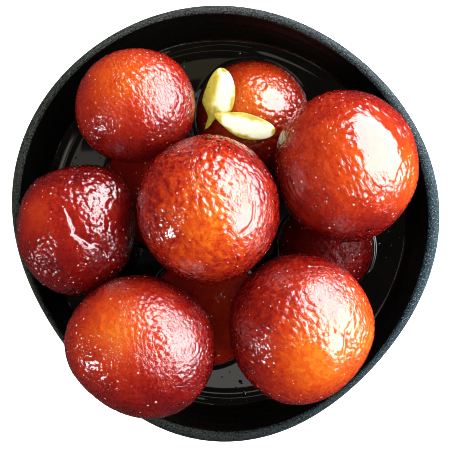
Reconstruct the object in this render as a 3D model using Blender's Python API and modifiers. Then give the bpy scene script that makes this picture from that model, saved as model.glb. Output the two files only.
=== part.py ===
"""Gulab jamun in a black stoneware bowl: ten syrup-soaked dumplings, their syrup and two nut slivers.

Metres, +Z up. The origin is at the middle of the bowl's underside. The bowl is thrown by hand, so its rim
is a little out of round, and every dumpling is a ball with swells and flats of its own.
"""
import math
from dataclasses import dataclass

import bmesh
import bpy
from mathutils import Euler, Vector

MM = 0.001
CLEARANCE = 0.3 * MM

# Bowl: heights above the table and mean radii
RIM_HEIGHT = 46.0 * MM
RIM_OUTER_RADIUS = 70.0 * MM
RIM_INNER_RADIUS = 66.6 * MM
LIP_ROUNDING = 1.6 * MM
FLOOR_HEIGHT = 6.0 * MM
FLOOR_RADIUS = 38.0 * MM
INNER_BEND_RADIUS = 22.0 * MM
OUTER_BEND_RADIUS = 25.5 * MM
WALL_LEAN = math.radians(14.0)
FOOT_RADIUS = 37.0 * MM
FOOT_HEIGHT = 2.0 * MM
FOOT_CHAMFER = 0.6 * MM
BOWL_STEPS = 64
BEND_STEPS = 5
LIP_STEPS = 5
WALL_STEPS = 2

# How far the rim is out of round: (waves per turn, height of the wave, bearing of its crest in degrees)
OUTER_WAVES = ((1, 1.5 * MM, 99), (2, 1.3 * MM, -66), (3, 1.55 * MM, 24.5), (4, 0.9 * MM, -3))
INNER_WAVES = ((1, 1.6 * MM, 115), (2, 1.35 * MM, -66), (3, 1.0 * MM, 24.5), (4, 0.45 * MM, 0))
WAVE_FADE = 1.5  # the waves die away towards the floor with this power of the height

SYRUP_LEVEL = 30.0 * MM


@dataclass
class Jamun:
    """A fried dumpling. Each swell is (bearing, elevation, rise in mm, spread), angles in degrees."""

    centre: tuple
    radius: float
    stretch: tuple = (1.0, 1.0, 1.0)
    swells: tuple = ()


JAMUNS = {
    "jamun_centre": Jamun((-4.8, 5.6, 64.3), 22.5, (0.98, 1.02, 0.98), ((-20, 30, 0.4, 40), (150, 10, 0.4, 35))),
    "jamun_right": Jamun((38.3, 19.2, 54.5), 23.3, (0.98, 1.03, 0.97), ((20, 20, 0.5, 40), (-75, 10, 0.5, 35))),
    "jamun_front_right": Jamun((23.9, -31.9, 59.7), 23.2, (0.98, 1.02, 0.98),
                               ((-42, 0, -0.8, 25), (8, 10, 0.8, 25), (-95, 0, 0.7, 22))),
    "jamun_front_left": Jamun((-25.4, -36.8, 65.4), 22.6, (1.03, 0.99, 0.96),
                              ((232, 0, -1.8, 24), (-62, 10, 1.0, 28), (170, 15, 0.9, 28), (52, 10, -1.4, 18))),
    "jamun_left": Jamun((-47.3, -1.7, 54.6), 19.5, (0.95, 1.06, 0.98), ((45, 8, 3.0, 24), (142, 10, 0.9, 22))),
    "jamun_back_left": Jamun((-28.6, 38.3, 52.2), 18.8, (1.02, 0.98, 0.97),
                             ((45, 10, 0.8, 28), (-35, 0, 0.5, 25), (215, 0, 0.7, 28))),
    "jamun_back": Jamun((9.1, 36.2, 26.25), 19.8, (1.0, 1.0, 0.99), ((40, 30, 0.3, 40),)),
    "jamun_low_left": Jamun((-24.3, 10.9, 25.4), 19.0, (1.0, 1.0, 0.99), ((110, 40, 0.4, 40),)),
    "jamun_low_front": Jamun((-6.9, -29.4, 26.1), 19.7, (1.0, 1.0, 0.99), ((-60, 30, 0.3, 40),)),
    "jamun_low_right": Jamun((34.0, -8.3, 23.9), 17.5, (1.0, 1.0, 0.99), ((0, 40, 0.3, 40),)),
}
JAMUN_SUBDIVISIONS = 3
SUNK_JAMUNS = ("jamun_back", "jamun_low_left", "jamun_low_front", "jamun_low_right")


@dataclass
class Sliver:
    """Half a nut cut lengthwise: domed skin below, flat cut face above, one blunt and one pointed end.

    tail says how much the pointed end is narrowed, from the share of the half length in tail_span on; bow
    curves it sideways and sag lets both ends droop. turn is roll, pitch and bearing in degrees.
    """

    centre: tuple
    length: float
    width: float
    dome: float
    crown: float
    tail: float
    tail_span: tuple
    bow: float
    sag: float
    turn: tuple


SLIVERS = {
    "nut_upright": Sliver((-2.9, 41.0, 45.4), 20.6, 10.8, 2.6, 0.6, 0.74, (0.15, 0.7), -1.6, 0.6, (16, 10, -107)),
    "nut_level": Sliver((6.3, 32.7, 47.5), 20.6, 8.2, 1.8, 0.6, 0.4, (0.0, 1.0), -0.8, 0.8, (-6, 0, 164)),
}
SLIVER_SEGMENTS = 16
SLIVER_RINGS = 10

COLLECTION = "gulab_jamun"
CUTTER_COLLECTION = "cutters"

COLOURS = {
    "glaze": ((0.018, 0.020, 0.021), 0.32),
    "syrup": ((0.030, 0.018, 0.010), 0.04),
    "dumpling": ((0.42, 0.065, 0.012), 0.22),
    "nut": ((0.80, 0.74, 0.38), 0.50),
}


def clear_scene():
    for item in list(bpy.data.objects):
        bpy.data.objects.remove(item, do_unlink=True)


def new_collection(name):
    collection = bpy.data.collections.new(name)
    bpy.context.scene.collection.children.link(collection)
    return collection


def new_material(name):
    colour, roughness = COLOURS[name]
    material = bpy.data.materials.new(name)
    material.use_nodes = True
    shader = material.node_tree.nodes["Principled BSDF"]
    shader.inputs["Base Color"].default_value = (*colour, 1.0)
    shader.inputs["Roughness"].default_value = roughness
    shader.inputs["Metallic"].default_value = 0.0
    return material


def new_object(name, mesh, collection, material=None):
    item = bpy.data.objects.new(name, mesh)
    collection.objects.link(item)
    if material is not None:
        mesh.materials.append(material)
        mesh.shade_smooth()
        mesh.set_sharp_from_angle(angle=math.radians(40))
    return item


def arc(centre, radii, start, end, steps):
    """Points of an elliptic arc in the profile plane, both ends included; angles in radians."""
    points = []
    for i in range(steps + 1):
        angle = start + (end - start) * i / steps
        points.append((centre[0] + radii[0] * math.cos(angle), centre[1] + radii[1] * math.sin(angle)))
    return points


def straight(start, end, steps):
    """The points between start and end, without either."""
    return [(start[0] + (end[0] - start[0]) * i / steps, start[1] + (end[1] - start[1]) * i / steps)
            for i in range(1, steps)]


def inner_bend(inset=0.0):
    """The curve from the bowl's floor into its wall, seen from inside."""
    centre = (FLOOR_RADIUS, FLOOR_HEIGHT + INNER_BEND_RADIUS)
    radius = INNER_BEND_RADIUS - inset
    return arc(centre, (radius, radius), -math.pi / 2, -WALL_LEAN, BEND_STEPS)


def bowl_profile():
    """From the floor's edge up the inside, over the lip and down the outside to the foot."""
    lip_centre = ((RIM_INNER_RADIUS + RIM_OUTER_RADIUS) / 2, RIM_HEIGHT - LIP_ROUNDING)
    lip_radii = ((RIM_OUTER_RADIUS - RIM_INNER_RADIUS) / 2, LIP_ROUNDING)
    inside = inner_bend()
    lip = arc(lip_centre, lip_radii, math.pi, 0.0, LIP_STEPS)
    outer_centre = (FLOOR_RADIUS, FOOT_HEIGHT + OUTER_BEND_RADIUS)
    foot_angle = -math.acos((FOOT_RADIUS - FLOOR_RADIUS) / OUTER_BEND_RADIUS)
    outside = arc(outer_centre, (OUTER_BEND_RADIUS, OUTER_BEND_RADIUS), -WALL_LEAN, foot_angle, BEND_STEPS)
    foot = [(FOOT_RADIUS, FOOT_CHAMFER), (FOOT_RADIUS - FOOT_CHAMFER, 0.0)]
    return (inside + straight(inside[-1], lip[0], WALL_STEPS) + lip
            + straight(lip[-1], outside[0], WALL_STEPS) + outside + foot)


def syrup_profile():
    """From the middle of the syrup's surface out to the wall and down it to the floor's edge."""
    bend = inner_bend(CLEARANCE)
    foot, top = bend[-1], (RIM_INNER_RADIUS - CLEARANCE, RIM_HEIGHT - LIP_ROUNDING)
    share = (SYRUP_LEVEL - foot[1]) / (top[1] - foot[1])
    edge = (foot[0] + (top[0] - foot[0]) * share, SYRUP_LEVEL)
    return [edge] + bend[::-1]


def waves(angle, terms):
    return sum(height * math.cos(count * (angle - math.radians(crest))) for count, height, crest in terms)


def push_out_of_round(mesh, faces_out=None):
    """Move a turned mesh's wall by the rim's waves, fading towards the floor.

    faces_out is 0 for a surface that follows the bowl's inside; None blends inside and outside by where
    each point of the surface faces, which carries the lip's uneven width.
    """
    normals = [vertex.normal.copy() for vertex in mesh.vertices]
    for vertex, normal in zip(mesh.vertices, normals):
        flat = Vector((vertex.co.x, vertex.co.y, 0.0))
        if flat.length < CLEARANCE:
            continue
        outward = flat.normalized()
        share = faces_out if faces_out is not None else 0.5 + 0.5 * normal.dot(outward)
        rise = max(0.0, (vertex.co.z - FLOOR_HEIGHT) / (RIM_HEIGHT - FLOOR_HEIGHT)) ** WAVE_FADE
        angle = math.atan2(vertex.co.y, vertex.co.x)
        wave = (1.0 - share) * waves(angle, INNER_WAVES) + share * waves(angle, OUTER_WAVES)
        vertex.co += outward * rise * wave


def turned(name, profile, collection):
    """Turn an open profile about Z and close its two flat ends, each with one face."""
    mesh = bpy.data.meshes.new(name)
    edges = [(i, i + 1) for i in range(len(profile) - 1)]
    mesh.from_pydata([(x, 0.0, z) for x, z in profile], edges, [])
    item = new_object(name, mesh, collection)
    screw = item.modifiers.new("turn", "SCREW")
    screw.axis = "Z"
    screw.steps = BOWL_STEPS
    screw.render_steps = BOWL_STEPS
    screw.use_merge_vertices = True
    screw.merge_threshold = 0.00001
    evaluated = item.evaluated_get(bpy.context.evaluated_depsgraph_get())
    solid = bpy.data.meshes.new_from_object(evaluated)
    bpy.data.objects.remove(item)
    bm = bmesh.new()
    bm.from_mesh(solid)
    bmesh.ops.holes_fill(bm, edges=[edge for edge in bm.edges if edge.is_boundary], sides=BOWL_STEPS)
    bmesh.ops.recalc_face_normals(bm, faces=bm.faces)
    bm.to_mesh(solid)
    bm.free()
    return solid


def make_bowl(collection):
    mesh = turned("bowl", bowl_profile(), collection)
    push_out_of_round(mesh)
    return new_object("bowl", mesh, collection, new_material("glaze"))


def direction(bearing, elevation):
    level = math.cos(math.radians(elevation))
    return Vector((level * math.cos(math.radians(bearing)), level * math.sin(math.radians(bearing)),
                   math.sin(math.radians(elevation))))


def jamun_mesh(name, jamun, grow=0.0):
    """A ball stretched along its axes, with its swells and flats; grow adds an even skin all round."""
    bm = bmesh.new()
    bmesh.ops.create_icosphere(bm, subdivisions=JAMUN_SUBDIVISIONS, radius=1.0)
    swells = [(direction(bearing, elevation), rise * MM, math.radians(spread))
              for bearing, elevation, rise, spread in jamun.swells]
    for vertex in bm.verts:
        way = vertex.co.normalized()
        reach = jamun.radius * MM + grow
        reach += sum(rise * math.exp(-0.5 * (way.angle(towards) / spread) ** 2)
                     for towards, rise, spread in swells)
        vertex.co = Vector(part * scale for part, scale in zip(way, jamun.stretch)) * reach
        vertex.co += Vector(jamun.centre) * MM
    mesh = bpy.data.meshes.new(name)
    bm.to_mesh(mesh)
    bm.free()
    return mesh


def make_jamuns(collection):
    material = new_material("dumpling")
    return {name: new_object(name, jamun_mesh(name, jamun), collection, material)
            for name, jamun in JAMUNS.items()}


def make_syrup(collection, cutters):
    """The bowl's inside up to the syrup's level, with a pocket round each dumpling that stands in it."""
    mesh = turned("syrup", syrup_profile(), collection)
    push_out_of_round(mesh, faces_out=0.0)
    syrup = new_object("syrup", mesh, collection, new_material("syrup"))
    for name in SUNK_JAMUNS:
        cutter = new_object("pocket_" + name, jamun_mesh("pocket_" + name, JAMUNS[name], CLEARANCE), cutters)
        cutter.hide_render = True
        cutter.display_type = "WIRE"
        pocket = syrup.modifiers.new("pocket_" + name, "BOOLEAN")
        pocket.operation = "DIFFERENCE"
        pocket.object = cutter
    return syrup


def ease(share):
    """A smooth step from 0 to 1."""
    share = min(1.0, max(0.0, share))
    return share * share * (3.0 - 2.0 * share)


def sliver_mesh(name, sliver):
    """A sphere drawn out to the sliver's length, narrowed to its tail, bowed and sagging."""
    bm = bmesh.new()
    bmesh.ops.create_uvsphere(bm, u_segments=SLIVER_SEGMENTS, v_segments=SLIVER_RINGS, radius=1.0)
    turn = Euler([math.radians(angle) for angle in sliver.turn], "XYZ").to_matrix()
    tail_start, tail_end = sliver.tail_span
    for vertex in bm.verts:
        along, across, up = vertex.co.z, vertex.co.x, vertex.co.y
        taper = 1.0 - sliver.tail * ease((along - tail_start) / (tail_end - tail_start))
        depth = sliver.crown if up > 0.0 else sliver.dome
        side = across * taper * sliver.width / 2 + sliver.bow * (along * along - 0.5)
        height = up * depth * (0.4 + 0.6 * taper) - sliver.sag * along * along
        vertex.co = turn @ Vector((along * sliver.length / 2, side, height))
        vertex.co = (vertex.co + Vector(sliver.centre)) * MM
    mesh = bpy.data.meshes.new(name)
    bm.to_mesh(mesh)
    bm.free()
    return mesh


def make_slivers(collection):
    material = new_material("nut")
    for name, sliver in SLIVERS.items():
        new_object(name, sliver_mesh(name, sliver), collection, material)


def main():
    clear_scene()
    collection = new_collection(COLLECTION)
    cutters = new_collection(CUTTER_COLLECTION)
    make_bowl(collection)
    make_jamuns(collection)
    make_syrup(collection, cutters)
    make_slivers(collection)


main()
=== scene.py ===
"""Looks for the bowl of gulab jamun: wrinkled syrup-glazed skins, stoneware, syrup, nut slivers and bubbles.

Metres, +Z up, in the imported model's own frame. Places on a dumpling are given as a bearing, anticlockwise
from +X, and an elevation above the horizon, both in degrees.
"""
import math
from dataclasses import dataclass

import bmesh
import bpy
import numpy as np
from mathutils import Euler, Matrix, Vector, noise


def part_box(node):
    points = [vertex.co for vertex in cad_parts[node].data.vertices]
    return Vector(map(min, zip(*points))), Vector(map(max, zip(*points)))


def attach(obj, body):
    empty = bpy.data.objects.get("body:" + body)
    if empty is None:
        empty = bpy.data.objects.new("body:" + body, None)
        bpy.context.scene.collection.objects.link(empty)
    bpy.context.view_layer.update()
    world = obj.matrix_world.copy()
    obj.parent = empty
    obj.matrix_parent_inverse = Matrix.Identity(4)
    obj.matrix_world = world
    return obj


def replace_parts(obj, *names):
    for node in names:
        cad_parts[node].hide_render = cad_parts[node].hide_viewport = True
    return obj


MM = 0.001

# Camera and light
CAMERA_TARGET = Vector((0.53, -0.43, 46.0)) * MM
CAMERA_DISTANCE = 350 * MM
CAMERA_TILT = math.radians(2.0)
CAMERA_TILT_TOWARDS = Vector((0.51, 0.86, 0.0)).normalized()
# The lens and its sensor are in millimetres, as Blender takes them
CAMERA_LENS = 85.2
SENSOR_WIDTH = 36.0
FLOOR_SIZE = 8.0
FLOOR_GLOW = 0.7
WORLD_STRENGTH = 0.05
# Dim cards overhead that the syrup alone mirrors: centre and size in mm, radiance, colour
CARD_HEIGHT = 430 * MM
CARDS = {
    "card_left": ((-103, 26), (36, 30), 0.7, (1.0, 0.96, 0.80)),
    "card_front": ((-5, -111), (60, 34), 1.6, (1.0, 0.98, 0.92)),
    "card_right": ((-168, 15), (50, 110), 1.6, (1.0, 0.98, 0.92)),
    "card_far": ((82, 158), (110, 40), 0.9, (1.0, 0.95, 0.80)),
    "card_back": ((-22, 104), (58, 24), 0.45, (1.0, 0.86, 0.5)),
}

# Bowl, as in the solids, but with its rim 0.1 mm narrower outside, which keeps it within them
RIM_OUTER_RADIUS = 69.9 * MM
RIM_INNER_RADIUS = 66.6 * MM
LIP_ROUNDING = 1.6 * MM
FLOOR_HEIGHT = 6.0 * MM
FLOOR_RADIUS = 38.0 * MM
INNER_BEND_RADIUS = 22.0 * MM
OUTER_BEND_RADIUS = 25.5 * MM
WALL_LEAN = math.radians(14.0)
FOOT_RADIUS = 37.0 * MM
FOOT_HEIGHT = 2.0 * MM
FOOT_CHAMFER = 0.6 * MM
OUTER_WAVES = ((1, 1.5 * MM, 99), (2, 1.3 * MM, -66), (3, 1.55 * MM, 24.5), (4, 0.9 * MM, -3))
INNER_WAVES = ((1, 1.6 * MM, 115), (2, 1.35 * MM, -66), (3, 1.0 * MM, 24.5), (4, 0.45 * MM, 0))
WAVE_FADE = 1.5
BOWL_COLUMNS = 360
BEND_STEPS = 20
LIP_STEPS = 24
INNER_WALL_STEPS = 24
OUTER_WALL_STEPS = 20
# How far over the lip the glaze ends and where it shines, as shares of the way from inside to outside
GLAZE_END = 0.24
SHINING_LIP = (0.15, 0.40)
GLAZE_GLOSS = 0.35
# Throwing rings inside: their height, and the rise of the wall over which their phase turns by a radian
THROWN_RING_HEIGHT = 0.06 * MM
THROWN_RING_RISE = 0.55 * MM
THROWN_RING_SWAY = 0.6
RINGLESS_LIP = 2 * MM
# How the bare clay round the rim is tinted, as bearing and linear colour: painted light, bluer and paler on
# the side toward the window at the right and olive at the left where the warm fill falls. Lower down outside
# it is plain, with the same pale specks all round.
CLAY_AND_LIGHT_TINTS = (
    (0, (0.0050, 0.0150, 0.0210)),
    (90, (0.0190, 0.0205, 0.0190)),
    (180, (0.0110, 0.0130, 0.0090)),
    (270, (0.0065, 0.0085, 0.0080)),
    (360, (0.0050, 0.0150, 0.0210)),
)
PLAIN_CLAY = np.array((0.0080, 0.0092, 0.0092))
TINTED_HEIGHT = 8 * MM
TINT_GONE = 1.5  # in tinted heights below the rim
# The tint is painted lighter towards the lip's outer slope, where the window lights it more: painted light.
INNER_LIP_TINT = 0.55
OUTWARD_PAINTED_LIGHT = 0.7
# Pale specks near the rim are painted glints, gathered on the side toward the window at this bearing; lower
# down they are plain specks.
GLINT_BEARING = 5
INNER_LIP_GLINT = 0.3
OUTWARD_GLINT = 0.7
PLAIN_FROST = 0.45
FROST_AND_GLINT_COLOUR = (0.15, 0.23, 0.28, 1.0)

# Syrup: it creeps up at the wall and at the sunk dumplings, with a bead and a ripple near the wall
SYRUP_LEVEL = 30.0 * MM
SYRUP_BOTTOM = FLOOR_HEIGHT + 0.1 * MM
SYRUP_OVERLAP = 0.15 * MM
SYRUP_RINGS = 110
SYRUP_WALL_ROWS = 12
RING_CROWDING = 1.25
MENISCUS_RISE = 1.3 * MM
MENISCUS_REACH = 2.2 * MM
SMALL_MENISCUS_REACH = 1.5 * MM
SMALL_MENISCUS_RISES = {
    "jamun_back": 0.25 * MM,
    "jamun_low_left": 0.65 * MM,
    "jamun_low_front": 0.65 * MM,
    "jamun_low_right": 0.65 * MM,
}
BEAD_PLACE = 1.6 * MM
BEAD_RISE = 0.40 * MM
BEAD_WIDTH = 0.9 * MM
RIPPLE_PLACE = 4.4 * MM
RIPPLE_RISE = 0.16 * MM
RIPPLE_WIDTH = 1.5 * MM

# Dumpling skins. Scales are in features per metre; heights, depths and widths are in mm.
SKIN_DETAIL = 7
SUNK_SKIN_DETAIL = 6
SKIN_INSET = 0.42
SWIRL_SCALE = 110
SWIRL_PUSH = 2.2
WOBBLE_SCALE = 160
LUMP_SCALE = 75
LUMP_HEIGHT = 0.16
WRINKLE_SCALE = 520
WRINKLE_HEIGHT = 0.62
WRINKLE_REACH = 0.75  # in cells of the scattered points that the wrinkles stand on
THICKNESS_SCALE = 90
PIT_SCALE = 260
PIT_THRESHOLD = 0.42
PIT_DEPTH = 0.4
FINENESS_SCALE = 140
SMOOTH_PATCH_CALM = 0.90
BARE_PATCH_CALM = 0.6
LEDGE_CALM = 0.85
LEDGE_WALL = 1.6
LEDGE_WOBBLE = 0.5
PATCH_RAGGEDNESS = 0.35
PATCH_EDGE = 0.18
# The side whose wrinkles stand highest, as (bearing, elevation, spread), and how high they stand elsewhere
ROUGH_SIDE = (30, 52, 38)
CALM_SIDE_HEIGHT = 0.65
# The colour's place on the ramp grows upward and falls off fast under the flank: painted shade, lighter on
# top and darker on the sides and underside. It also wanders by WOBBLE.
PAINTED_LIGHT_UPWARD = 0.16
PAINTED_SHADE_FLANK = 0.4
PAINTED_SHADE_BELOW_FLANK = 0.3
WARMTH_WOBBLE = 0.10
SYRUP_BROWNS = (
    (0.0, (0.045, 0.0012, 0.0014)),
    (0.2, (0.095, 0.0022, 0.0020)),
    (0.4, (0.18, 0.0075, 0.0030)),
    (0.62, (0.28, 0.023, 0.0036)),
    (0.82, (0.34, 0.050, 0.0038)),
    (1.0, (0.37, 0.100, 0.0080)),
)
# The pale colour painted on blister tops: a painted glint.
BLISTER_GLINT_COLOUR = (0.75, 0.47, 0.38, 1.0)


@dataclass
class Skin:
    """One dumpling's colour and wrinkles.

    base is its colour's place on the ramp, mottle how much that wanders from spot to spot. warm and dark are
    patches as (bearing, elevation, spread, strength), and smooth and bare as (bearing, elevation, spread).
    The dark patches are painted shade on the lower and shaded sides; a few warm patches, marked below, are
    painted light, and one is a painted reflection.
    Wrinkles die out in a smooth patch; in a bare one only the cracks are weaker.
    depth and pitch are the wrinkles' height and size, fine the strength of the cracks between them. grain is
    the bearing that they run along, stretch how much longer they are that way.
    folds are (height in mm, half width in mm, places as (bearing, elevation)); one with a negative height is
    a crease. ledges are (drop in mm, width in mm, bearing of the lower side, places): a step down that runs
    out again. dents are (bearing, elevation, spread, depth in mm); one with a negative depth is a swell.
    """

    seed: float
    base: float
    warm: tuple = ()
    dark: tuple = ()
    smooth: tuple = ()
    bare: tuple = ()
    depth: float = 1.0
    pitch: float = 1.0
    grain: float = 0.0
    stretch: float = 1.0
    mottle: float = 0.2
    fine: float = 0.3
    folds: tuple = ()
    ledges: tuple = ()
    dents: tuple = ()


SKINS = {
    "jamun_centre": Skin(
        1.0, 0.21, warm=((-35, 76, 28, 0.36), (80, 62, 24, 0.16), (-85, 60, 24, 0.12)),
        smooth=((-16, 57, 10), (-100, 60, 22)), depth=1.25, pitch=0.75, grain=120, stretch=1.4, mottle=1.3,
        fine=0.34,
        folds=((-0.40, 0.5, ((10, 49), (-4, 50), (-13, 50), (-24, 52), (-35, 55))),)),
    # Its dark patch is painted shade on the low front side; the warm patch low toward the window, at bearing
    # -12, is painted light.
    "jamun_right": Skin(
        2.0, 0.21, warm=((-84, 70, 22, 0.22), (5, 55, 30, 0.20), (-12, 22, 26, 0.38), (125, 50, 25, 0.18)),
        dark=((-80, 30, 25, 0.20),), smooth=((32, 56, 25),), dents=((32, 54, 20, 0.7), (95, 60, 18, -0.9)),
        depth=1.0, pitch=0.8, grain=120, stretch=1.5, mottle=0.4, fine=0.35,
        folds=((0.30, 0.5, ((124, 26), (119, 15), (109, 14))), (0.25, 0.5, ((131, 48), (140, 50))),
               (0.25, 0.5, ((171, 48), (172, 58))), (0.18, 0.6, ((177, 50), (177, 65), (168, 77))),
               (0.30, 0.5, ((-147, 61), (-149, 55), (-147, 50), (-152, 47))),
               (0.25, 0.5, ((-125, 50), (-120, 43))),
               (0.35, 0.6, ((9, 32), (3, 47), (-9, 52), (-21, 52))), (0.30, 0.6, ((-23, 80), (-40, 65))))),
    # Its dark patch is painted shade on the low left side, away from the window; the warm patch low toward
    # the window, at bearing 5, is painted light.
    "jamun_front_right": Skin(
        3.0, 0.20, warm=((-75, 68, 26, 0.42), (20, 58, 32, 0.25), (5, 15, 26, 0.40), (-40, 30, 24, 0.16)),
        dark=((190, 30, 35, 0.12),), smooth=((-14, 62, 10), (-85, 62, 20)), bare=((209, 50, 14),), depth=1.2,
        pitch=0.68, grain=130, stretch=1.3, mottle=0.7, fine=0.34,
        folds=((-0.35, 0.5, ((14, 49), (8, 56), (-5, 56), (-18, 55), (-34, 52), (-45, 51))),)),
    # Its dark patch is painted shade on the low front side.
    "jamun_front_left": Skin(
        4.0, 0.20, warm=((120, 60, 22, 0.48), (0, 82, 22, 0.10), (170, 35, 25, 0.08)),
        dark=((-90, 20, 40, 0.20),), bare=((198, 53, 11),), depth=1.0, pitch=0.6, mottle=0.4, fine=0.36,
        folds=((0.35, 0.6, ((133, 48), (144, 55))),)),
    # Its dark patch is painted shade on the low front side; the warm patch at bearing 150 is a painted
    # reflection.
    "jamun_left": Skin(
        5.0, 0.08, warm=((150, 55, 18, 0.30), (36, 52, 20, 0.12)), dark=((-90, 30, 40, 0.08),),
        smooth=((165, 45, 22),), depth=1.4, pitch=0.8, fine=0.25, dents=((-48, 46, 14, 1.2),),
        ledges=((0.95, 3.6, 27, ((84, 76), (68, 81), (30, 82), (-13, 84), (-28, 77), (-30, 71), (-33, 65),
                                (-26, 60), (-24, 55), (-30, 49))),)),
    # Its dark patch is painted shade on the low front side.
    "jamun_back_left": Skin(
        6.0, 0.22, warm=((100, 62, 32, 0.42),), dark=((-90, 25, 40, 0.12),), depth=0.9, pitch=0.65, grain=120,
        stretch=1.5, fine=0.42),
    # Its dark patch is painted shade on its low side toward the front right.
    "jamun_back": Skin(
        7.0, 0.30, warm=((60, 74, 30, 0.48),), dark=((-30, 40, 30, 0.32),), smooth=((33, 64, 12),), depth=1.1,
        pitch=0.8, fine=0.35),
    "jamun_low_left": Skin(8.0, 0.18, pitch=0.7),
    "jamun_low_front": Skin(9.0, 0.22, warm=((-90, 60, 40, 0.08),), pitch=0.7, depth=1.2, fine=0.5),
    # Its low base is painted shade: it lies under the right and front-right dumplings.
    "jamun_low_right": Skin(10.0, -0.10, pitch=0.65, depth=1.3, fine=0.6),
}


@dataclass
class Sliver:
    """A nut sliver as in the solids, and where its yellow-green skin shows round the pale cut face.

    Lengths are in mm, turn in degrees. Along the length and across the width, places go from -1 to 1. rind is
    how far the skin reaches in from each side, and tip the place along the length where it begins.
    """

    centre: tuple
    length: float
    width: float
    dome: float
    crown: float
    tail: float
    tail_span: tuple
    bow: float
    sag: float
    turn: tuple
    rind: tuple
    tip: float


SLIVERS = {
    "nut_upright": Sliver(
        (-2.9, 41.0, 45.4), length=20.6, width=10.8, dome=2.6, crown=0.6, tail=0.74, tail_span=(0.15, 0.7),
        bow=-1.6, sag=0.6, turn=(16, 10, -107), rind=(0.80, 0.22), tip=0.25),
    "nut_level": Sliver(
        (6.3, 32.7, 47.5), length=20.6, width=8.2, dome=1.8, crown=0.6, tail=0.4, tail_span=(0.0, 1.0),
        bow=-0.8, sag=0.8, turn=(-6, 0, 164), rind=(0.45, 0.32), tip=0.75),
}
SLIVER_ROUND = 72
SLIVER_ALONG = 64
SLIVER_INSET = 0.10
FURROW_DEPTH = 0.12
RIND_RAGGEDNESS = 0.16
# How softly the skin fades in from the left, right, tip and head, and how strong it gets on the cut face
RIND_FADES = (0.45, 0.28, 0.35, 0.15)
HEAD_START = 0.93
CUT_FACE_SKIN = 0.75

# Bubbles on the syrup: x, y, length, width in mm and the bearing of the length
BUBBLES = (
    (5.2, -54.2, 1.9, 1.2, -35),
    (6.3, -58.0, 2.2, 0.9, -55),
    (3.6, -56.2, 0.9, 0.7, 20),
    (-1.3, -52.5, 0.7, 0.5, 0),
    (1.4, -50.8, 0.6, 0.5, 60),
    (55.3, -2.8, 0.7, 0.6, 0),
    (56.3, -7.5, 0.9, 0.7, 80),
    (54.6, -11.6, 0.6, 0.5, 30),
    (59.0, -4.8, 0.7, 0.5, 90),
    (57.7, -15.7, 1.0, 0.6, 70),
    (-53.2, 24.5, 1.0, 0.7, 50),
    (-51.2, 22.5, 0.7, 0.6, 0),
)
BUBBLE_DETAIL = 4
BUBBLE_HEIGHT = 0.35


def ease(share):
    """A smooth step from 0 to 1."""
    share = min(1.0, max(0.0, share))
    return share * share * (3.0 - 2.0 * share)


def direction(bearing, elevation):
    level = math.cos(math.radians(elevation))
    return np.array((level * math.cos(math.radians(bearing)), level * math.sin(math.radians(bearing)),
                     math.sin(math.radians(elevation))))


# ---------------------------------------------------------------- materials


class Shader:
    """A material around one Principled shader, built with short calls."""

    def __init__(self, name, **values):
        self.material = bpy.data.materials.new(name)
        self.material.use_nodes = True
        self.tree = self.material.node_tree
        self.surface = self.tree.nodes["Principled BSDF"]
        for socket, value in values.items():
            self.feed(self.surface.inputs[socket.replace("_", " ")], value)

    def feed(self, socket, value):
        if isinstance(value, bpy.types.NodeSocket):
            self.tree.links.new(value, socket)
        else:
            socket.default_value = value

    def node(self, kind, settings=None, **values):
        made = self.tree.nodes.new("ShaderNode" + kind)
        for key, value in (settings or {}).items():
            setattr(made, key, value)
        for socket, value in values.items():
            self.feed(made.inputs[socket.replace("_", " ")], value)
        return made

    def place(self):
        return self.node("TexCoord").outputs["Object"]

    def attribute(self, name):
        return self.node("Attribute", {"attribute_name": name}).outputs["Fac"]

    def noise(self, scale, detail=2.0, roughness=0.5, distortion=0.0, vector=None):
        made = self.node("TexNoise", Scale=scale, Detail=detail, Roughness=roughness, Distortion=distortion,
                         Vector=vector or self.place())
        return made.outputs["Fac"]

    def bent(self, vector):
        """The same places, pushed about a little."""
        push = self.node("TexNoise", Vector=vector, Scale=800.0, Detail=1.0).outputs["Color"]
        made = self.node("VectorMath", {"operation": "MULTIPLY_ADD"})
        for socket, value in zip(made.inputs, (push, (0.7 * MM,) * 3, vector)):
            self.feed(socket, value)
        return made.outputs["Vector"]

    def maths(self, operation, first, second=0.0, third=0.0, clamp=False):
        made = self.node("Math", {"operation": operation, "use_clamp": clamp})
        for socket, value in zip(made.inputs, (first, second, third)):
            self.feed(socket, value)
        return made.outputs["Value"]

    def ramp(self, share, stops):
        """A colour ramp; stops are (place, colour) with linear colours."""
        made = self.node("ValToRGB", Fac=share)
        elements = made.color_ramp.elements
        while len(elements) < len(stops):
            elements.new(0.5)
        for element, (place, colour) in zip(elements, stops):
            element.position = place
            element.color = (*colour, 1.0)
        return made.outputs["Color"]

    def blend(self, share, first, second):
        made = self.node("Mix", {"data_type": "RGBA"})
        for socket, value in (("Factor_Float", share), ("A_Color", first), ("B_Color", second)):
            self.feed(next(entry for entry in made.inputs if entry.identifier == socket), value)
        return next(entry for entry in made.outputs if entry.identifier == "Result_Color")

    def spread(self, share, low, high, to_low=0.0, to_high=1.0, smooth=False):
        settings = {"interpolation_type": "SMOOTHSTEP" if smooth else "LINEAR"}
        made = self.node("MapRange", settings, Value=share, From_Min=low, From_Max=high,
                         To_Min=to_low, To_Max=to_high)
        return made.outputs["Result"]

    def bump(self, height, distance, strength=1.0, normal=None):
        made = self.node("Bump", Height=height, Distance=distance, Strength=strength)
        if normal is not None:
            self.feed(made.inputs["Normal"], normal)
        return made.outputs["Normal"]

    def set(self, **values):
        for socket, value in values.items():
            self.feed(self.surface.inputs[socket.replace("_", " ")], value)


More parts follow.
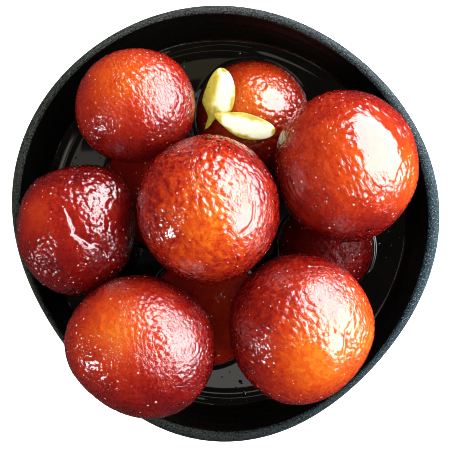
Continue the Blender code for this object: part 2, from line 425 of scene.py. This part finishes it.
def dumpling_material(name, shine):
    """Fried dough under a film of syrup: mottled colour, fine cracks, and small blisters whose tops are
    painted pale as glints.

    drawn is the place on the skin after the wrinkles' swirl and stretch, so colour and cracks follow them.
    """
    shader = Shader(name, Specular_IOR_Level=shine)
    drawn = shader.node("Attribute", {"attribute_name": "drawn"}).outputs["Vector"]
    mottle = shader.noise(420, detail=4.0, roughness=0.65, distortion=0.5, vector=drawn)
    speckle = shader.noise(1700, detail=2.0)
    share = shader.maths("SUBTRACT", mottle, 0.5)
    # The ramp's place comes from a point attribute that carries painted shade as well as the skin's own tone.
    share = shader.maths("MULTIPLY_ADD", share, shader.attribute("mottle"), shader.attribute("tone_and_shade"))
    share = shader.maths("MULTIPLY_ADD", shader.maths("SUBTRACT", speckle, 0.5), 0.25, share)
    colour = shader.ramp(share, SYRUP_BROWNS)
    blisters = shader.node("TexVoronoi", {"feature": "F1"}, Vector=shader.place(), Scale=460.0)
    chosen = shader.node("SeparateColor", Color=blisters.outputs["Color"]).outputs["Red"]
    flocks = shader.spread(shader.noise(110, detail=1.0), 0.35, 0.65, 0.5, 1.1)
    size = shader.maths("MULTIPLY", shader.spread(chosen, 0.05, 1.0, 0.04, 0.26), flocks)
    blister_and_glint = shader.maths("DIVIDE", blisters.outputs["Distance"], size)
    blister_and_glint = shader.spread(blister_and_glint, 0.0, 1.0, 1.0, 0.0, smooth=True)
    # Pale blister tops are painted glints.
    colour = shader.blend(shader.maths("MULTIPLY", blister_and_glint, 0.9), colour, BLISTER_GLINT_COLOUR)
    cracks = shader.node("TexVoronoi", {"feature": "DISTANCE_TO_EDGE"}, Vector=shader.bent(drawn),
                         Scale=640.0)
    cracks = shader.spread(cracks.outputs["Distance"], 0.0, 0.17, -1.0, 0.0, smooth=True)
    cracks = shader.maths("MULTIPLY", cracks, shader.attribute("fineness"))
    height = shader.maths("MULTIPLY_ADD", shader.maths("MULTIPLY", blister_and_glint, size), 7.0, cracks)
    normal = shader.bump(height, 0.12 * MM)
    roughness = shader.spread(shader.noise(400), 0.3, 0.7, 0.02, 0.05)
    shader.set(Base_Color=colour, Roughness=roughness, Normal=normal, Subsurface_Weight=0.6,
               Subsurface_Radius=(1.0, 0.2, 0.08), Subsurface_Scale=6.0 * MM)
    return shader.material


def stoneware_material():
    """Grainy unglazed clay at the rim and outside, with pale specks.

    The point attributes clay and frost are its colour and how speckled it is. Near the rim both carry painted
    light: the clay is tinted by bearing and lighter on the lip's outer slope, and the specks there are
    painted glints gathered on the side toward the window. glaze is 1 on the dark inside, gloss 1 where it
    shines.
    """
    shader = Shader("stoneware", Specular_IOR_Level=0.18)
    glaze = shader.attribute("glaze")
    grain = shader.noise(1900, detail=3.0, roughness=0.7)
    speck = shader.spread(shader.noise(2600, detail=1.0, roughness=0.6), 0.60, 0.68, smooth=True)
    tint = shader.node("Attribute", {"attribute_name": "clay"}).outputs["Vector"]
    depth = shader.spread(grain, 0.42, 0.64, 0.0, 2.6)
    clay = shader.node("VectorMath", {"operation": "SCALE"}, Vector=tint, Scale=depth).outputs["Vector"]
    inside = shader.ramp(grain, ((0.4, (0.0006, 0.0006, 0.0005)), (0.7, (0.0028, 0.0026, 0.0022))))
    # Pale specks: plain specks lower down, painted glints near the rim on the window side.
    frost_and_glint_share = shader.maths("MULTIPLY", speck, shader.attribute("frost_and_glint"))
    clay = shader.blend(frost_and_glint_share, clay, FROST_AND_GLINT_COLOUR)
    colour = shader.blend(glaze, clay, inside)
    roughness = shader.spread(shader.attribute("gloss"), 0.0, 1.0, 0.42, 0.10)
    coarse = shader.spread(glaze, 0.0, 1.0, 1.0, 0.25)
    normal = shader.bump(shader.maths("ADD", grain, speck), 0.28 * MM, coarse)
    shader.set(Base_Color=colour, Roughness=roughness, Normal=normal)
    return shader.material


def syrup_material():
    """Dark syrup, whose surface swells a little and carries small bubbles."""
    shader = Shader("syrup_surface", Specular_IOR_Level=0.5)
    cloud = shader.noise(90, detail=2.0)
    colour = shader.ramp(cloud, ((0.3, (0.0006, 0.0005, 0.0003)), (0.7, (0.0020, 0.0014, 0.0007))))
    bubbles = shader.node("TexVoronoi", {"feature": "F1"}, Vector=shader.place(), Scale=420.0)
    chosen = shader.node("SeparateColor", Color=bubbles.outputs["Color"]).outputs["Red"]
    size = shader.spread(chosen, 0.55, 1.0, 0.02, 0.22)
    bubble = shader.maths("DIVIDE", bubbles.outputs["Distance"], size)
    bubble = shader.maths("MULTIPLY", shader.spread(bubble, 0.0, 1.0, 1.0, 0.0, smooth=True), size)
    normal = shader.bump(bubble, 0.6 * MM, normal=shader.bump(shader.noise(150, detail=1.0), 0.008 * MM))
    shader.set(Base_Color=colour, Roughness=shader.spread(shader.noise(700), 0.3, 0.7, 0.02, 0.05),
               Normal=normal)
    return shader.material


def nut_material():
    """Pale kernel that turns to its yellow-green skin where the point attribute skin grows to 1."""
    shader = Shader("nut_kernel", Roughness=0.45)
    skin = shader.attribute("skin")
    flecks = shader.noise(700, detail=3.0, roughness=0.6, distortion=0.6)
    share = shader.maths("MULTIPLY_ADD", shader.maths("SUBTRACT", flecks, 0.5), 0.5, skin)
    colour = shader.ramp(share, (
        (0.1, (0.58, 0.55, 0.41)),
        (0.4, (0.50, 0.43, 0.14)),
        (0.7, (0.33, 0.25, 0.022)),
        (1.0, (0.13, 0.10, 0.008)),
    ))
    fibres = shader.noise(1200, detail=2.0, distortion=0.5)
    shader.set(Base_Color=colour, Normal=shader.bump(fibres, 0.12 * MM))
    return shader.material


# ---------------------------------------------------------------- meshes


def new_piece(name, points, faces, material, body="root", values=None):
    """A smooth mesh piece riding on a body; values are point attributes for its material."""
    mesh = bpy.data.meshes.new(name)
    mesh.from_pydata([tuple(point) for point in points], [], faces)
    for key, shares in (values or {}).items():
        shares = np.asarray(shares, np.float32)
        kind, field_name = ("FLOAT", "value") if shares.ndim == 1 else ("FLOAT_VECTOR", "vector")
        mesh.attributes.new(key, kind, "POINT").data.foreach_set(field_name, shares.ravel())
    mesh.materials.append(material)
    mesh.shade_smooth()
    piece = bpy.data.objects.new(name, mesh)
    bpy.context.scene.collection.objects.link(piece)
    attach(piece, body)
    return piece


def field(points, scale, offset, octaves=1):
    """Gradient noise at each point, about -1 to 1; scale is in features per metre."""
    shift = Vector((offset, offset * 1.7, -offset * 0.6))
    if octaves == 1:
        return np.array([noise.noise(Vector(point) * scale + shift) for point in points])
    return np.array([noise.fractal(Vector(point) * scale + shift, 1.0, 2.0, octaves) for point in points])


def cells(points, scale, offset):
    """Distance to the nearest of scattered points, in cells."""
    shift = Vector((offset, offset * 1.7, -offset * 0.6))
    return np.array([noise.voronoi(Vector(point) * scale + shift)[0][0] for point in points])


def unit_sphere(detail):
    bm = bmesh.new()
    bmesh.ops.create_icosphere(bm, subdivisions=detail, radius=1.0)
    ways = np.array([vertex.co.normalized() for vertex in bm.verts])
    faces = [[vertex.index for vertex in face.verts] for face in bm.faces]
    bm.free()
    return ways, faces


def solid_points(name, frame):
    mesh = frame["nodes"][name].data
    flat = np.empty(len(mesh.vertices) * 3, np.float32)
    mesh.vertices.foreach_get("co", flat)
    return np.unique(np.round(flat.reshape(-1, 3).astype(float), 7), axis=0)


def reach_of_solid(points, centre, ways):
    """How far the solid reaches from its centre along each way: a smooth skin through all its corners."""
    arms = points - centre
    lengths = np.linalg.norm(arms, axis=1)
    arms = arms / lengths[:, None]
    mean = lengths.mean()
    sharpness = 10.0
    slack = 1e-5
    kernel = np.exp(sharpness * (arms @ arms.T - 1.0))
    kernel += slack * np.eye(len(arms))
    weights = np.linalg.solve(kernel, lengths - mean)
    return mean + np.exp(sharpness * (ways @ arms.T - 1.0)) @ weights


def bell(ways, bearing, elevation, spread):
    """1 at a place on the ball, falling off smoothly with the angle from it."""
    angle = np.arccos(np.clip(ways @ direction(bearing, elevation), -1.0, 1.0))
    return np.exp(-0.5 * (angle / math.radians(spread)) ** 2)


def off_line(line, ways):
    """The way, as a share of the radius, from a line drawn through places on the ball to each point."""
    ends = [direction(*place) for place in line]
    nearest = np.full((len(ways), 3), 9.0)
    for start, end in zip(ends, ends[1:]):
        span = end - start
        share = np.clip((ways - start) @ span / (span @ span), 0.0, 1.0)
        gap = ways - start - share[:, None] * span
        closer = np.linalg.norm(gap, axis=1) < np.linalg.norm(nearest, axis=1)
        nearest[closer] = gap[closer]
    return nearest


def plateau(ways, bearing, elevation, spread, wobble):
    """1 over a patch with a ragged edge, 0 outside it."""
    angle = np.degrees(np.arccos(np.clip(ways @ direction(bearing, elevation), -1.0, 1.0)))
    edge = (spread * (1.0 + PATCH_RAGGEDNESS * wobble) - angle) / (PATCH_EDGE * spread)
    return np.clip(0.5 + edge, 0.0, 1.0)


def make_jamun(name, skin, sphere, frame, material):
    """A wrinkled skin round a dumpling's solid; what is added to the seed keeps the noises apart."""
    ways, faces = sphere
    corners = solid_points(name, frame)
    centre = corners.mean(axis=0)
    reach = reach_of_solid(corners, centre, ways)
    places = ways * reach[:, None]

    swirl = np.stack([field(places, SWIRL_SCALE, skin.seed + k * 7.3) for k in range(3)], axis=1)
    swirl = swirl * SWIRL_PUSH * MM
    grain = direction(skin.grain, 0.0)
    along = (places + swirl) @ grain
    drawn = places + swirl - (1.0 - 1.0 / skin.stretch) * along[:, None] * grain

    wobble = field(places, WOBBLE_SCALE, skin.seed + 31.0, octaves=3)
    calm = np.zeros(len(ways))
    for patch in skin.smooth:
        calm = np.maximum(calm, plateau(ways, *patch, wobble))
    wrinkle = 1.0 - SMOOTH_PATCH_CALM * calm
    patchy = 1.0 + 0.8 * field(places, FINENESS_SCALE, skin.seed + 51.0)
    fine = skin.fine * wrinkle * np.clip(patchy, 0.3, 1.5)
    for patch in skin.bare:
        fine *= 1.0 - BARE_PATCH_CALM * plateau(ways, *patch, wobble)

    for _, width, _, places_on in skin.ledges:
        gap = off_line(places_on, ways) * reach.mean() / MM
        wrinkle = wrinkle * (1.0 - LEDGE_CALM * np.exp(-(np.linalg.norm(gap, axis=1) / width) ** 2))

    lumps = field(places, LUMP_SCALE, skin.seed + 3.0)
    nearest = cells(drawn, WRINKLE_SCALE / skin.pitch, skin.seed + 17.0)
    domes = 1.0 - np.clip(nearest / WRINKLE_REACH, 0.0, 1.0) ** 2
    thick = np.clip(0.75 + 0.9 * field(places, THICKNESS_SCALE, skin.seed + 41.0), 0.25, 1.3)
    thick *= CALM_SIDE_HEIGHT + (1.0 - CALM_SIDE_HEIGHT) * bell(ways, *ROUGH_SIDE)
    pits = np.clip(field(places, PIT_SCALE, skin.seed + 23.0) - PIT_THRESHOLD, 0.0, 1.0)
    wrinkles = WRINKLE_HEIGHT * thick * domes - PIT_DEPTH * pits
    relief = LUMP_HEIGHT * lumps + skin.depth * skin.pitch * wrinkle * wrinkles
    for height, width, places_on in skin.folds:
        apart = np.linalg.norm(off_line(places_on, ways), axis=1) * reach.mean() / MM
        relief += height * np.exp(-(apart / width) ** 2)
    for drop, width, bearing, places_on in skin.ledges:
        gap = off_line(places_on, ways) * reach.mean() / MM
        apart = np.linalg.norm(gap, axis=1) * np.sign(gap @ direction(bearing, 0.0)) + LEDGE_WOBBLE * wobble
        wall = np.clip(0.5 + apart / LEDGE_WALL, 0.0, 1.0)
        shelf = wall * wall * (3.0 - 2.0 * wall) * np.clip(1.0 - apart / width, 0.0, 1.0)
        relief -= drop * shelf
        fine *= 1.0 - shelf
    for bearing, elevation, spread, depth in skin.dents:
        relief -= depth * bell(ways, bearing, elevation, spread)
    relief -= SKIN_INSET
    points = centre + ways * (reach + relief * MM)[:, None]

    up = ways[:, 2]
    # Lighter upward and darker below the flank: painted shade.
    tone_and_shade = skin.base + PAINTED_LIGHT_UPWARD * up + PAINTED_SHADE_BELOW_FLANK * np.minimum(up - PAINTED_SHADE_FLANK, 0.0)
    for bearing, elevation, spread, strength in skin.warm:
        tone_and_shade = tone_and_shade + strength * bell(ways, bearing, elevation, spread)
    for bearing, elevation, spread, strength in skin.dark:
        tone_and_shade = tone_and_shade - strength * bell(ways, bearing, elevation, spread)
    tone_and_shade = tone_and_shade + WARMTH_WOBBLE * wobble
    values = {"tone_and_shade": tone_and_shade, "fineness": fine, "mottle": np.full(len(ways), skin.mottle),
              "drawn": drawn / skin.pitch}
    piece = new_piece("skin_" + name, points, faces, material, values=values)
    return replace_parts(piece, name)


def arc(centre, radii, start, end, steps):
    return [(centre[0] + radii[0] * math.cos(start + (end - start) * i / steps),
             centre[1] + radii[1] * math.sin(start + (end - start) * i / steps)) for i in range(steps + 1)]


def straight(start, end, steps):
    return [(start[0] + (end[0] - start[0]) * i / steps, start[1] + (end[1] - start[1]) * i / steps)
            for i in range(1, steps)]


def waves(angle, terms):
    return sum(height * math.cos(count * (angle - math.radians(crest))) for count, height, crest in terms)


def rise_share(height, rim):
    return max(0.0, (height - FLOOR_HEIGHT) / (rim - FLOOR_HEIGHT)) ** WAVE_FADE


def bowl_profile(rim):
    """From the floor's edge up the inside, over the lip and down to the foot.

    Each point is (radius, height, share that follows the outside, glaze, gloss).
    """
    lip_centre = ((RIM_INNER_RADIUS + RIM_OUTER_RADIUS) / 2, rim - LIP_ROUNDING)
    lip_radii = ((RIM_OUTER_RADIUS - RIM_INNER_RADIUS) / 2, LIP_ROUNDING)
    bend = (FLOOR_RADIUS, FLOOR_HEIGHT + INNER_BEND_RADIUS)
    inside = arc(bend, (INNER_BEND_RADIUS, INNER_BEND_RADIUS), -math.pi / 2, -WALL_LEAN, BEND_STEPS)
    lip = arc(lip_centre, lip_radii, math.pi, 0.0, LIP_STEPS)
    outer = (FLOOR_RADIUS, FOOT_HEIGHT + OUTER_BEND_RADIUS)
    foot_angle = -math.acos((FOOT_RADIUS - FLOOR_RADIUS) / OUTER_BEND_RADIUS)
    outside = arc(outer, (OUTER_BEND_RADIUS, OUTER_BEND_RADIUS), -WALL_LEAN, foot_angle, BEND_STEPS)
    foot = [(FOOT_RADIUS, FOOT_CHAMFER), (FOOT_RADIUS - FOOT_CHAMFER, 0.0)]
    up = inside + straight(inside[-1], lip[0], INNER_WALL_STEPS)
    down = straight(lip[-1], outside[0], OUTER_WALL_STEPS) + outside + foot
    profile = [(radius, height, 0.0, 1.0, GLAZE_GLOSS) for radius, height in up]
    for i, (radius, height) in enumerate(lip):
        across = i / (len(lip) - 1)
        outward = 0.5 - 0.5 * math.cos(math.pi * across)
        glazed = 1.0 if across < GLAZE_END else 0.0
        gloss = 1.0 if SHINING_LIP[0] < across < SHINING_LIP[1] else GLAZE_GLOSS * glazed
        profile.append((radius, height, outward, glazed, gloss))
    profile += [(radius, height, 1.0, 0.0, 0.0) for radius, height in down]
    return profile


def turned(rings, columns):
    """Faces of a grid of rings of points, each ring with the same number of columns, closed round."""
    faces = []
    for i in range(rings - 1):
        for j in range(columns):
            k = (j + 1) % columns
            faces.append((i * columns + j, i * columns + k, (i + 1) * columns + k, (i + 1) * columns + j))
    return faces


def capped(points, faces, rings, columns, low, high):
    """Close both ends of a grid with a fan to a middle point; low and high are the two middles."""
    first, last = len(points), len(points) + 1
    points = points + [low, high]
    for j in range(columns):
        k = (j + 1) % columns
        faces.append((k, j, first))
        faces.append(((rings - 1) * columns + j, (rings - 1) * columns + k, last))
    return points, faces


def make_bowl(material):
    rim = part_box("bowl")[1].z
    profile = bowl_profile(rim)
    bearings, colours = zip(*CLAY_AND_LIGHT_TINTS)
    turns = np.arange(BOWL_COLUMNS) * 360 / BOWL_COLUMNS
    tints = np.stack([np.interp(turns, bearings, channel) for channel in zip(*colours)], axis=1)
    points, glaze, gloss, clay, frost_and_glint = [], [], [], [], []
    for radius, height, outward, glazed, shine in profile:
        share = rise_share(height, rim)
        near_rim = ease(TINT_GONE - (rim - height) / TINTED_HEIGHT)
        for j in range(BOWL_COLUMNS):
            angle = 2 * math.pi * j / BOWL_COLUMNS
            wave = (1 - outward) * waves(angle, INNER_WAVES) + outward * waves(angle, OUTER_WAVES)
            ring = 0.0
            if glazed and height < rim - RINGLESS_LIP:
                phase = height / THROWN_RING_RISE + THROWN_RING_SWAY * math.sin(2 * angle)
                ring = THROWN_RING_HEIGHT * math.sin(phase)
            reach = radius + share * wave + ring
            points.append((reach * math.cos(angle), reach * math.sin(angle), height))
            glaze.append(glazed)
            gloss.append(shine)
            # Painted light: the clay tint by bearing, lighter towards the outer slope.
            tint = (INNER_LIP_TINT + OUTWARD_PAINTED_LIGHT * outward) * tints[j]
            clay.append(PLAIN_CLAY + near_rim * (tint - PLAIN_CLAY))
            # Pale specks near the rim gather on the side toward the window: painted glints.
            side = max(0.0, math.cos(angle - math.radians(GLINT_BEARING)))
            side *= INNER_LIP_GLINT + OUTWARD_GLINT * outward
            frost_and_glint.append(PLAIN_FROST + near_rim * (side - PLAIN_FROST))
    faces = turned(len(profile), BOWL_COLUMNS)
    points, faces = capped(points, faces, len(profile), BOWL_COLUMNS, (0, 0, FLOOR_HEIGHT), (0, 0, 0))
    glaze += [1.0, 0.0]
    gloss += [GLAZE_GLOSS, 0.0]
    clay += [PLAIN_CLAY, PLAIN_CLAY]
    frost_and_glint += [PLAIN_FROST, PLAIN_FROST]
    faces = [face[::-1] for face in faces]
    values = {"glaze": glaze, "gloss": gloss, "clay": clay, "frost_and_glint": frost_and_glint}
    piece = new_piece("bowl_stoneware", points, faces, material, values=values)
    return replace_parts(piece, "bowl")


def wall_radius(angle, height, rim):
    """The inside wall's radius at a height, out of round as the rim is."""
    centre = FLOOR_HEIGHT + INNER_BEND_RADIUS
    bend_top = centre - INNER_BEND_RADIUS * math.sin(WALL_LEAN)
    if height < bend_top:
        drop = min(1.0, (centre - height) / INNER_BEND_RADIUS)
        radius = FLOOR_RADIUS + INNER_BEND_RADIUS * math.sqrt(max(0.0, 1.0 - drop * drop))
    else:
        foot = FLOOR_RADIUS + INNER_BEND_RADIUS * math.cos(WALL_LEAN)
        share = (height - bend_top) / (rim - LIP_ROUNDING - bend_top)
        radius = foot + (RIM_INNER_RADIUS - foot) * share
    return radius + rise_share(height, rim) * waves(angle, INNER_WAVES)


def bead_height(angle):
    """How high the bead beside the wall stands, more in some places than in others."""
    return BEAD_RISE * (0.6 + 0.4 * math.sin(2.3 * angle + 1.0) * math.sin(5.1 * angle))


def make_syrup(frame, material):
    """The pool: rings of points, closer together towards the wall, then rows down the wall to its floor."""
    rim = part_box("bowl")[1].z
    sunk = []
    for name, creep in SMALL_MENISCUS_RISES.items():
        corners = solid_points(name, frame)
        centre = corners.mean(axis=0)
        radius = np.linalg.norm(corners - centre, axis=1).mean()
        sunk.append((centre, math.sqrt(radius ** 2 - (SYRUP_LEVEL - centre[2]) ** 2), creep))
    points = []
    for i in range(1, SYRUP_RINGS + 1):
        for j in range(BOWL_COLUMNS):
            angle = 2 * math.pi * j / BOWL_COLUMNS
            edge = wall_radius(angle, SYRUP_LEVEL + MENISCUS_RISE, rim) + SYRUP_OVERLAP
            share = 1.0 - (1.0 - i / SYRUP_RINGS) ** RING_CROWDING
            x, y = edge * share * math.cos(angle), edge * share * math.sin(angle)
            inward = edge * (1.0 - share)
            lift = MENISCUS_RISE * max(0.0, 1.0 - inward / MENISCUS_REACH) ** 3
            for centre, radius, creep in sunk:
                gap = abs(math.hypot(x - centre[0], y - centre[1]) - radius)
                lift = max(lift, creep * max(0.0, 1.0 - gap / SMALL_MENISCUS_REACH) ** 3)
            lift += bead_height(angle) * math.exp(-((inward - BEAD_PLACE) / BEAD_WIDTH) ** 2)
            lift += RIPPLE_RISE * math.exp(-((inward - RIPPLE_PLACE) / RIPPLE_WIDTH) ** 2)
            points.append((x, y, SYRUP_LEVEL + lift))
    for i in range(1, SYRUP_WALL_ROWS + 1):
        height = SYRUP_LEVEL + (SYRUP_BOTTOM - SYRUP_LEVEL) * i / SYRUP_WALL_ROWS
        for j in range(BOWL_COLUMNS):
            angle = 2 * math.pi * j / BOWL_COLUMNS
            radius = wall_radius(angle, height, rim) + SYRUP_OVERLAP
            points.append((radius * math.cos(angle), radius * math.sin(angle), height))
    rings = SYRUP_RINGS + SYRUP_WALL_ROWS
    faces = turned(rings, BOWL_COLUMNS)
    points, faces = capped(points, faces, rings, BOWL_COLUMNS, (0, 0, SYRUP_LEVEL), (0, 0, SYRUP_BOTTOM))
    faces = [face[::-1] for face in faces]
    piece = new_piece("syrup_pool", points, faces, material)
    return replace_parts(piece, "syrup")


def make_bubbles(material):
    """Small domes that float on the syrup."""
    ways, faces = unit_sphere(BUBBLE_DETAIL)
    points, every_face = [], []
    for x, y, length, width, bearing in BUBBLES:
        turn = Matrix.Rotation(math.radians(bearing), 3, "Z")
        first = len(points)
        for way in ways:
            place = turn @ Vector((way[0] * length / 2, way[1] * width / 2, way[2] * BUBBLE_HEIGHT * width))
            points.append((x * MM + place.x * MM, y * MM + place.y * MM, SYRUP_LEVEL + place.z * MM))
        every_face += [tuple(first + corner for corner in face) for face in faces]
    return new_piece("syrup_bubbles", points, every_face, material)


def make_sliver(name, sliver, material):
    """A sliver like its solid, furrowed on the cut face.

    skin is 1 on the domed side, and rises to CUT_FACE_SKIN at the edges of the cut face.
    """
    bm = bmesh.new()
    bmesh.ops.create_uvsphere(bm, u_segments=SLIVER_ROUND, v_segments=SLIVER_ALONG, radius=1.0)
    turn = Euler([math.radians(angle) for angle in sliver.turn], "XYZ").to_matrix()
    tail_start, tail_end = sliver.tail_span
    faces = [[vertex.index for vertex in face.verts] for face in bm.faces]
    points, skin = [], []
    for vertex in bm.verts:
        along, across, up = vertex.co.z, vertex.co.x, vertex.co.y
        taper = 1.0 - sliver.tail * ease((along - tail_start) / (tail_end - tail_start))
        depth = sliver.crown if up > 0.0 else sliver.dome
        side = across * taper * sliver.width / 2 + sliver.bow * (along * along - 0.5)
        height = up * depth * (0.4 + 0.6 * taper) - sliver.sag * along * along
        place = Vector((along * sliver.length / 2, side, height))
        furrow = FURROW_DEPTH * noise.noise(Vector((place.x * 0.25, place.y * 0.9, sliver.width)))
        place.z -= SLIVER_INSET + (abs(furrow) if up > 0.0 else 0.0)
        points.append((turn @ place + Vector(sliver.centre)) * MM)
        ragged = RIND_RAGGEDNESS * noise.noise(Vector((place.x * 0.5, place.y * 0.5, sliver.length + 3.0)))
        inward = (sliver.rind[0] - (1.0 + across), sliver.rind[1] - (1.0 - across),
                  along - sliver.tip, -along - HEAD_START)
        shown = [ease((reach + ragged) / fade + 0.5) for reach, fade in zip(inward, RIND_FADES)]
        skin.append(1.0 if up < -0.05 else max(shown) * CUT_FACE_SKIN)
    bm.free()
    piece = new_piece("kernel_" + name, points, faces, material, values={"skin": skin})
    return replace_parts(piece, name)


# ---------------------------------------------------------------- camera, light, floor


def make_camera():
    view = -(math.cos(CAMERA_TILT) * Vector((0, 0, 1)) + math.sin(CAMERA_TILT) * CAMERA_TILT_TOWARDS)
    data = bpy.data.cameras.new("camera")
    data.lens = CAMERA_LENS
    data.sensor_width = SENSOR_WIDTH
    data.clip_start = 0.01
    camera = bpy.data.objects.new("camera", data)
    right = view.cross(Vector((0, 1, 0))).normalized()
    camera.matrix_world = Matrix((right, right.cross(view), -view)).transposed().to_4x4()
    camera.location = CAMERA_TARGET - view * CAMERA_DISTANCE
    bpy.context.scene.collection.objects.link(camera)
    bpy.context.scene.camera = camera


def area_light(name, bearing, elevation, distance, width, height, radiance, colour):
    """A rectangular light that faces the bowl, with the brightness that its mirror image has."""
    data = bpy.data.lights.new(name, "AREA")
    data.shape = "RECTANGLE"
    data.size = width
    data.size_y = height
    data.energy = radiance * math.pi * width * height
    data.color = colour
    light = bpy.data.objects.new(name, data)
    towards = Vector(direction(bearing, elevation))
    light.location = CAMERA_TARGET + towards * distance
    light.visible_camera = False
    light.rotation_mode = "QUATERNION"
    light.rotation_quaternion = (-towards).to_track_quat("-Z", "Y")
    bpy.context.scene.collection.objects.link(light)
    return light


def card_light(name, centre, size, radiance, colour, pieces):
    """A small dim card overhead that only the given pieces mirror; centre and size in mm."""
    data = bpy.data.lights.new(name, "AREA")
    data.shape = "RECTANGLE"
    data.size, data.size_y = size[0] * MM, size[1] * MM
    data.energy = radiance * math.pi * data.size * data.size_y
    data.color = colour
    light = bpy.data.objects.new(name, data)
    light.location = (centre[0] * MM, centre[1] * MM, CARD_HEIGHT)
    light.visible_camera = False
    light.light_linking.receiver_collection = pieces
    bpy.context.scene.collection.objects.link(light)


def make_stage():
    """A pale floor, dim surroundings, a window at the right, a small lamp at the left and a soft fill."""
    bpy.ops.mesh.primitive_plane_add(size=FLOOR_SIZE)
    floor = bpy.context.active_object
    floor.name = "floor"
    shader = Shader("pale_floor", Roughness=0.8)
    tone = shader.ramp(shader.noise(3.0), ((0.3, (0.80, 0.80, 0.80)), (0.7, (0.84, 0.84, 0.84))))
    shader.set(Base_Color=tone, Emission_Color=(1.0, 1.0, 1.0, 1.0), Emission_Strength=FLOOR_GLOW)
    floor.data.materials.append(shader.material)
    floor.visible_glossy = False

    world = bpy.data.worlds.new("studio")
    world.use_nodes = True
    background = world.node_tree.nodes["Background"]
    background.inputs["Color"].default_value = (0.95, 0.97, 1.0, 1.0)
    background.inputs["Strength"].default_value = WORLD_STRENGTH
    bpy.context.scene.world = world

    area_light("window", bearing=24, elevation=30, distance=0.60, width=1.4, height=0.64, radiance=11.3,
               colour=(0.93, 0.975, 1.0))
    area_light("side_lamp", bearing=207, elevation=19, distance=0.60, width=0.05, height=0.12, radiance=50.0,
               colour=(1.0, 0.98, 0.95))
    fill = area_light("overhead_fill", bearing=200, elevation=70, distance=1.2, width=1.4, height=1.4,
                      radiance=4.6, colour=(1.0, 0.985, 0.94))
    fill.visible_glossy = False
    bpy.context.scene.view_settings.view_transform = "Standard"
    cycles = bpy.context.scene.cycles
    cycles.use_denoising = True
    cycles.denoising_prefilter = "NONE"
    cycles.filter_width = 1.0


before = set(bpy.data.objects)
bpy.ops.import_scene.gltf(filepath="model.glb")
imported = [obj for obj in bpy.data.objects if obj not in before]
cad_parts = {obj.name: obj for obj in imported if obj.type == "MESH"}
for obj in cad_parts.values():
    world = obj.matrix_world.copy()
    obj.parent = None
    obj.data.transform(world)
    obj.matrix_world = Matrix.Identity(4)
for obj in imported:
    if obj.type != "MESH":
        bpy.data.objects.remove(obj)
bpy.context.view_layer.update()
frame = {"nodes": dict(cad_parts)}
make_camera()
make_stage()
upper_sphere, sunk_sphere = unit_sphere(SKIN_DETAIL), unit_sphere(SUNK_SKIN_DETAIL)
upper_skin, sunk_skin = dumpling_material("dumpling_skin", 0.9), dumpling_material("sunk_skin", 0.08)
for node_name, node_skin in SKINS.items():
    if "low" in node_name:
        make_jamun(node_name, node_skin, sunk_sphere, frame, sunk_skin)
    else:
        make_jamun(node_name, node_skin, upper_sphere, frame, upper_skin)
make_bowl(stoneware_material())
syrup = syrup_material()
pool = make_syrup(frame, syrup)
make_bubbles(syrup)
mirror = bpy.data.collections.new("mirroring")
mirror.objects.link(pool)
for card_name, (card_centre, card_size, card_radiance, card_colour) in CARDS.items():
    card_light(card_name, card_centre, card_size, card_radiance, card_colour, mirror)
kernel = nut_material()
for node_name, sliver in SLIVERS.items():
    make_sliver(node_name, sliver, kernel)
